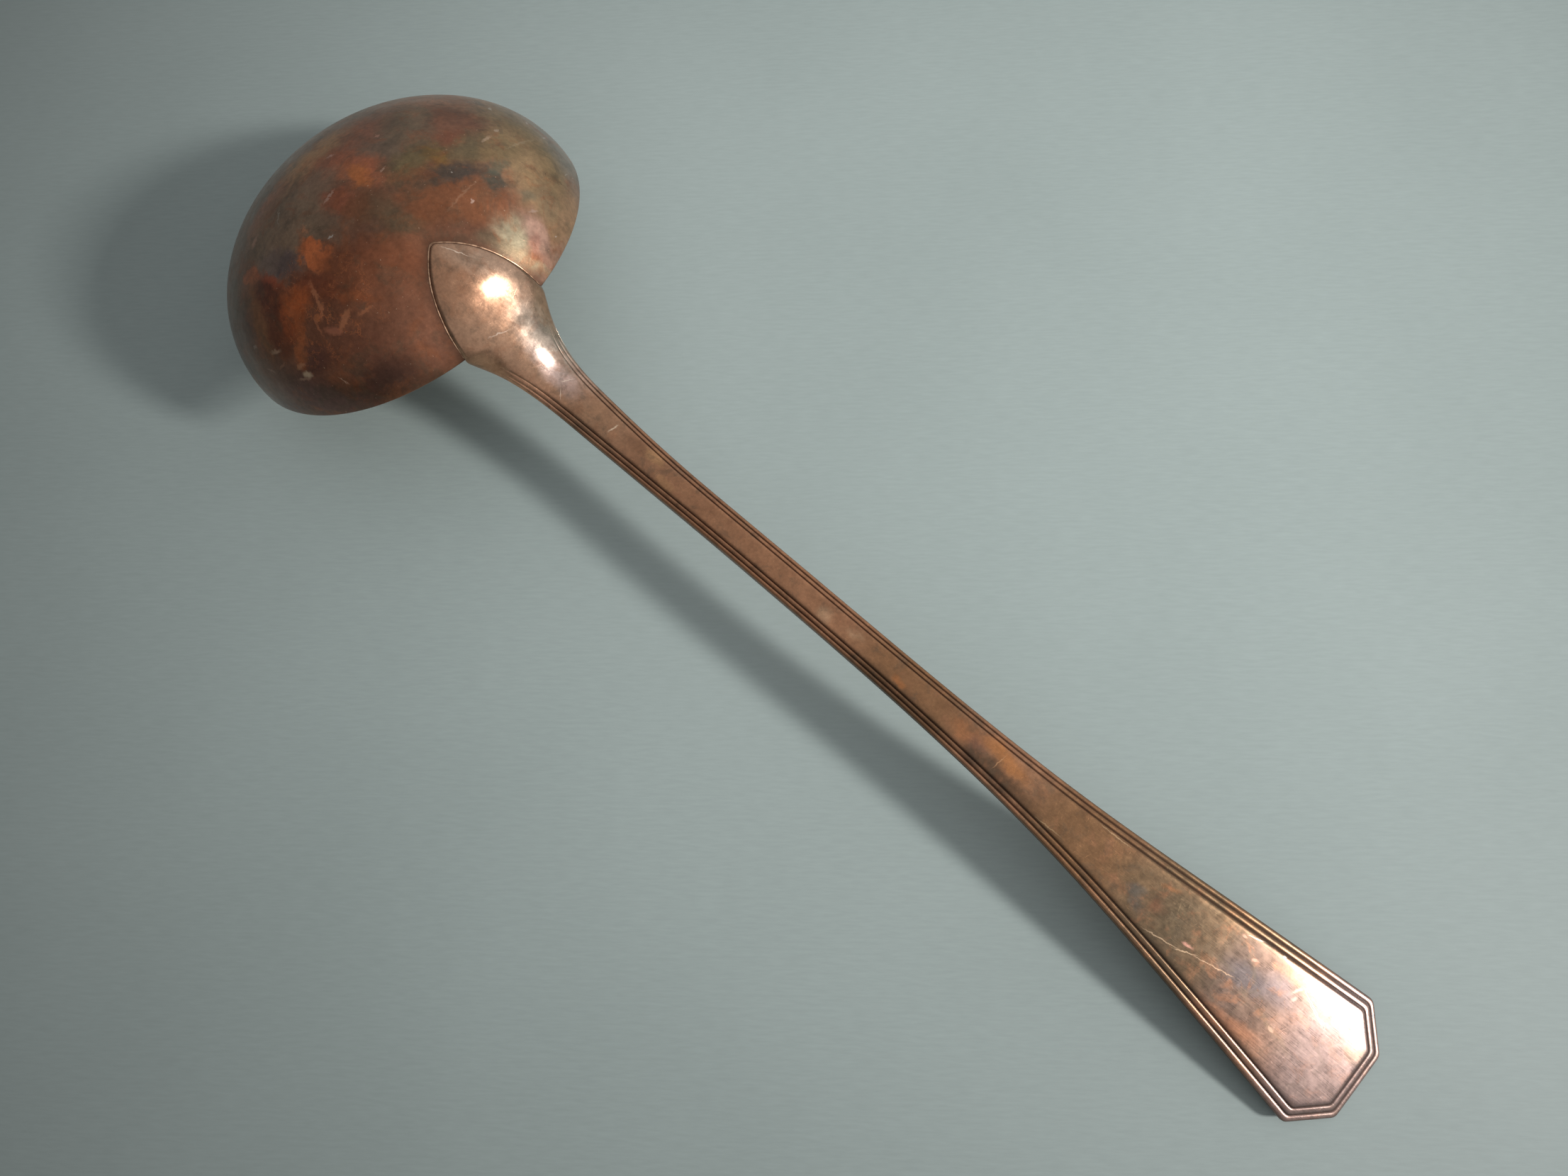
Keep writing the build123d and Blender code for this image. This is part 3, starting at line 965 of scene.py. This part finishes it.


# Stains on the handle, with some painted highlight at the neck, on a map of x and y in millimetres,
# in the same form.
HANDLE_STAINS_AND_HIGHLIGHT = [
    # pinkish copper and silver over the heel and the neck; the pale silver at the neck is partly
    # painted highlight
    (43, 0, 15, 14, 0, 50, 95, 186, 143, 114),
    (34, -4, 7, 5, 20, 60, 70, 172, 124, 94),
    (36, 6, 8, 3, 30, 60, 70, 176, 146, 124),
    # partly painted highlight: the pale silver ovals from x 50 to 60 lie where the neck's highlight
    # and its halo fall
    (50, 3.6, 7, 4, -10, 60, 80, 192, 176, 160),
    (56, 0.5, 7, 2.4, 0, 60, 60, 206, 178, 170),
    (52, -7.4, 8, 2.6, 20, 60, 80, 212, 156, 122),
    (60, 4.4, 6, 1.6, -8, 60, 70, 204, 170, 150),
    (68, 0, 8, 7, 0, 60, 80, 170, 128, 98),
    # copper and brown along the stem
    (80, 1, 3, 1.6, 0, 60, 60, 140, 100, 74),
    (84.5, 1.7, 2.5, 1.4, 0, 50, 70, 200, 152, 106),
    (90, -1.5, 3, 1.2, 0, 50, 70, 200, 150, 105),
    (122, 0, 32, 8, 0, 60, 80, 178, 126, 92),
    (139, 0, 2, 1.6, 0, 60, 60, 206, 164, 128),
    (147, 0.5, 1.8, 1.2, 0, 60, 60, 206, 164, 128),
    (163, 0, 14, 8, 0, 50, 85, 148, 106, 72),
    (162, -3.5, 14, 1.8, 0, 60, 80, 110, 80, 56),
    (160.5, -1, 1.6, 0.8, 0, 60, 60, 182, 114, 66),
    (178, 0, 4, 2.2, 0, 60, 60, 174, 112, 70),
    (182, -0.5, 2.4, 3, 0, 60, 60, 112, 80, 68),
    (188, 1.2, 6, 1.8, -6, 60, 75, 190, 124, 72),
    (190, -2.5, 11, 1.8, 0, 50, 85, 96, 70, 50),
    # olive and grey where it widens
    (211, 0, 14, 9, 0, 50, 85, 130, 95, 64),
    (229, 0, 9, 12, 0, 50, 80, 104, 86, 64),
    (225, -1, 2.2, 1, 20, 70, 50, 92, 90, 86),
    (226.5, -3, 2.4, 1.1, -30, 70, 50, 92, 90, 86),
    (230, -1, 1.6, 1.3, 40, 70, 60, 134, 80, 58),
    (230.5, 4.5, 1.6, 0.6, 20, 70, 60, 172, 108, 64),
    (241, 0, 11, 14, 0, 50, 85, 92, 78, 60),
    (255, 0, 9, 16, 0, 50, 85, 98, 82, 74),
    (253.5, 0.5, 5, 2.4, 0, 60, 80, 88, 80, 80),
    (261, 3, 5, 3, 0, 60, 70, 104, 92, 92),
    (255, -9.5, 8, 2, 8, 50, 60, 168, 114, 84),
    (242, 10, 22, 3, 6, 60, 60, 126, 98, 70),
    # pinkish grey at the end
    (276, 0, 12, 20, 0, 50, 90, 124, 105, 99),
    (264, -4.4, 5, 0.7, -17, 60, 60, 122, 100, 80),
    (266.5, 9, 2, 0.9, 0, 50, 60, 148, 146, 144),
    (279.5, 4.5, 2, 2.2, 0, 50, 60, 166, 134, 100),
    (278, 6.4, 2, 1, 0, 50, 50, 130, 128, 130),
]
# Scratches and chips of bright metal on it.
HANDLE_MARKS = [
    (30.5, 2.5, 2.6, 0.1, 30, 50, 80, 244, 214, 190),
    (44.5, -3, 2.2, 0.08, 75, 50, 60, 240, 212, 190),
    (57.5, 1.5, 1.5, 0.08, 60, 50, 70, 240, 212, 190),
    (58.5, -2, 1.3, 0.08, -50, 50, 70, 240, 206, 180),
    (72.5, 0.3, 0.2, 1.2, -12, 50, 90, 238, 206, 176),
    (187, 0, 0.11, 1.8, -8, 50, 70, 214, 160, 116),
    (203, -3.5, 3, 0.11, 2, 50, 60, 196, 160, 120),
    (214.5, 4.6, 3.6, 0.11, 4, 50, 60, 196, 162, 124),
    (234.5, -5.2, 3.8, 0.12, 12, 50, 75, 200, 168, 136),
    (240, -3.9, 2.4, 0.11, 24, 50, 75, 200, 168, 136),
    (246, -2.2, 4.6, 0.11, 15, 50, 70, 196, 160, 130),
    (239.5, -2.5, 1.2, 0.35, 10, 50, 80, 206, 150, 130),
    (247.5, 7, 0.5, 0.3, 0, 50, 60, 190, 142, 122),
    (252, 4.7, 0.6, 0.25, 30, 50, 60, 190, 142, 122),
    (250, 8.5, 2, 0.12, 20, 50, 70, 206, 176, 156),
    (256.5, 9.5, 0.3, 0.25, 0, 50, 90, 220, 200, 184),
    (259.8, 9.4, 2.2, 0.26, 4, 50, 80, 228, 208, 192),
    (262.5, 6, 1.1, 0.3, 60, 90, 50, 180, 150, 134),
    (263, 4.2, 0.8, 0.3, 70, 90, 50, 180, 150, 134),
    (262.8, -3.8, 0.8, 0.35, -10, 40, 70, 176, 142, 120),
    (267.5, 5.6, 4, 0.06, -22, 50, 55, 192, 172, 162),
    (268.2, 4.9, 3.4, 0.05, -22, 50, 50, 192, 172, 162),
]
# Colours of the handle: plate, patches, the end, grime and painted shade for the grooves and the
# side wall. Then the solder's.
HANDLE_PLATE, HANDLE_WARM, HANDLE_COOL = (166, 120, 90), (158, 108, 78), (98, 84, 68)
END_GREY, HANDLE_GRIME_AND_SHADE = (138, 116, 110), (52, 36, 30)
SOLDER_DARK, SOLDER_PALE = (140, 106, 84), (206, 166, 136)
# By x: where the end turns grey, where its brushing starts, and where the stem and the
# flare get rougher.
GREY_FROM, BRUSHED_FROM = (258.0, 273.0), (225.0, 264.0)
STEM_FROM, FLARE_FROM = (60.0, 95.0), (225.0, 262.0)
# About how long, wide and deep the brushing's lines are.
BRUSHED_SIZE = (16.0, 0.2, 1.0)


def make_handle_metal():
    nodes = Nodes(bpy.data.materials.new("worn_handle_metal"))
    place = in_millimetres(nodes)
    flat = nodes.vector("MULTIPLY", place, (1, 1, 0))
    stained = warped(nodes, flat, place, (0.045, 4.0, 3.0), (0.35, 2.6, 4.0))
    colour = nodes.painted(linear(*HANDLE_PLATE), stained, HANDLE_STAINS_AND_HIGHLIGHT)
    colour = mottled(nodes, place, colour, 0.24, HANDLE_WARM, HANDLE_COOL)
    x = nodes.split(place)[0]
    colour = nodes.mix(nodes.between(x, *GREY_FROM, 0.0, 0.5), colour, linear(*END_GREY))
    colour = nodes.shade(place, colour, 0.3, 0.85, 1.15)
    colour = nodes.shade(place, colour, 1.6, 0.88, 1.12, 4.0)
    colour = nodes.painted(colour, warped(nodes, flat, place, (0.9, 0.8, 3.0)), HANDLE_MARKS)
    colour, worn = fine_wear(nodes, place, colour, HANDLE_LINES)
    at_end = nodes.between(x, *BRUSHED_FROM, 0.3, 1.0)
    brushed = nodes.noise(nodes.placed(place, (0, 0), 3, BRUSHED_SIZE), 1.0, 2.0, 0.6)
    brushed = nodes.math("MULTIPLY", nodes.math("SUBTRACT", brushed, 0.5), at_end)
    colour = nodes.lit(colour, nodes.math("MULTIPLY_ADD", brushed, 0.35, 1.0))
    # Painted shade and grime: darker in the border's grooves, and painted shade on the side wall.
    colour, grime_and_shade = grimed_and_shaded(nodes, colour, 0.85, HANDLE_GRIME_AND_SHADE)
    rough = nodes.varied(nodes.noise(place, 0.5, 5.0, 0.65), 0.15, 0.27)
    for rougher_from in (STEM_FROM, FLARE_FROM):
        rough = nodes.math("ADD", rough, nodes.between(x, *rougher_from, 0.0, 0.05))
    rough = nodes.math("MULTIPLY_ADD", brushed, 0.2, rough)
    rough = nodes.math("MULTIPLY_ADD", worn, 0.14, rough)
    rough = nodes.math("MULTIPLY_ADD", grime_and_shade, 0.3, rough)
    normal = nodes.bump(nodes.noise(place, 0.12, 2.0, 0.5), 0.00009)
    normal = nodes.bump(brushed, 0.000004, normal)
    normal = nodes.bump(worn, -0.000002, normal)
    return nodes.metal(colour, rough, normal, 0.3, 0.2)


def make_solder_metal():
    nodes = Nodes(bpy.data.materials.new("dull_solder"))
    place = in_millimetres(nodes)
    mottle = nodes.noise(place, 0.8, 5.0, 0.6)
    pale = nodes.between(mottle, 0.35, 0.65)
    colour = nodes.mix(pale, linear(*SOLDER_DARK), linear(*SOLDER_PALE))
    rough = nodes.varied(mottle, 0.3, 0.45)
    return nodes.metal(colour, rough, nodes.bump(mottle, 0.00004))


# The table in metres: half its side, its depth below the ladle, the middle of a painted pool of
# light, where its painted falloff starts and stops getting darker and the brightness there. Then
# its colours and its grain.
FLOOR_HALF, FLOOR_DROP = 4.0, 0.00005
PAINTED_LIGHT_MIDDLE = (-0.012, 0.099, 0.0)
PAINTED_FALLOFF = (0.05, 0.40, 1.05, 0.36)
PAINT_DARK, PAINT_PALE = (151, 162, 159), (156, 167, 164)
GRAIN_ANGLE, GRAIN_SIZE = 41, (7, 1, 1)


def make_floor():
    """A plain pale table top, with a falloff of light painted into its colour."""
    corners = [(x * FLOOR_HALF, y * FLOOR_HALF, 0) for x, y in ((-1, -1), (1, -1), (1, 1), (-1, 1))]
    mesh = bpy.data.meshes.new("table_top")
    mesh.from_pydata(corners, [], [(0, 1, 2, 3)])
    top = add_object("table_top", mesh)
    top.location.z = -FLOOR_DROP
    nodes = Nodes(bpy.data.materials.new("pale_paint_painted_falloff"))
    place = nodes.add("TexCoord").outputs["Object"]
    pale = nodes.between(nodes.noise(place, 9.0, 4.0, 0.5), 0.3, 0.7)
    colour = nodes.mix(pale, linear(*PAINT_DARK), linear(*PAINT_PALE))
    away = nodes.vector("DISTANCE", place, PAINTED_LIGHT_MIDDLE)
    grained = nodes.placed(place, (0, 0), GRAIN_ANGLE, GRAIN_SIZE)
    grain = nodes.noise(grained, 1400.0, 3.0, 0.6)
    colour = nodes.lit(colour, nodes.varied(grain, 0.96, 1.04))
    # Painted light: the colour darkens away from a bright middle, as a lamp's falloff would make
    # it.
    colour = nodes.lit(colour, nodes.between(away, *PAINTED_FALLOFF))
    mesh.materials.append(nodes.finished({"Base Color": colour, "Roughness": 0.6}))


# ---- light and camera

def turned_to(eye, target, heading):
    """A matrix that looks from eye to target, with its right hand side towards heading."""
    back = (eye - target).normalized()
    level = Vector((math.cos(heading), math.sin(heading), 0))
    up = back.cross(level).normalized()
    right = up.cross(back)
    turn = Matrix((right, up, back)).transposed().to_4x4()
    return Matrix.Translation(eye) @ turn


# The camera: its place, what it looks at, where its right hand side points, its lens.
EYE = (67.24, -44.0, 262.08)
TARGET = (2.4, 2.2, 0.0)
RIGHT_HAND = math.radians(40.92)
SENSOR, LENS = 36.0, 25.92
# The window: its azimuth and elevation, distance and side in metres, power and colour.
WINDOW_AT = (math.radians(26.5), math.radians(32.2))
WINDOW_DISTANCE, WINDOW_SIDE, WINDOW_WATTS = 1.4, 0.17, 19.0
WINDOW_COLOUR = (1.0, 0.99, 0.97)
# The room's light: its colour, the side it comes from, its strength.
ROOM_COLOUR = (0.95, 0.98, 1.0, 1.0)
ROOM_SIDE = Vector((0.62, 0.72, 0.3)).normalized()
ROOM_STRENGTH = (-0.8, 1.0, 0.18, 0.78)


def make_camera():
    data = bpy.data.cameras.new("camera")
    data.sensor_width = SENSOR
    data.lens = LENS
    data.clip_start = 0.01
    camera = add_object("camera", data)
    camera.matrix_world = turned_to(Vector(EYE) * MM, Vector(TARGET) * MM, RIGHT_HAND)
    bpy.context.scene.camera = camera


def make_window():
    data = bpy.data.lights.new("window", "AREA")
    data.shape = "RECTANGLE"
    data.size = data.size_y = WINDOW_SIDE
    data.energy = WINDOW_WATTS
    data.color = WINDOW_COLOUR
    azimuth, elevation = WINDOW_AT
    level = math.cos(elevation)
    eye = Vector((math.cos(azimuth) * level, math.sin(azimuth) * level, math.sin(elevation)))
    eye *= WINDOW_DISTANCE
    lamp = add_object("window", data)
    lamp.matrix_world = turned_to(eye, Vector(), azimuth + math.pi / 2)


def make_world():
    world = bpy.data.worlds.new("studio")
    bpy.context.scene.world = world
    nodes = Nodes(world, "OutputWorld")
    place = nodes.add("TexCoord").outputs["Generated"]
    strength = nodes.between(nodes.vector("DOT_PRODUCT", place, ROOM_SIDE), *ROOM_STRENGTH)
    nodes.finished({"Color": ROOM_COLOUR, "Strength": strength}, "Background")


pieces = [
    (make_bowl(), make_bowl_metal(), "bowl", "bowl_metal"),
    (make_handle(), make_handle_metal(), "handle", "handle_metal"),
    (make_solder(), make_solder_metal(), "solder_joint", "solder"),
]
for piece, material, node, slot in pieces:
    piece.data.materials.append(material)
    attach(piece, "root")
    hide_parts(node)

make_floor()
make_camera()
make_window()
make_world()
bpy.context.scene.view_settings.view_transform = "Standard"
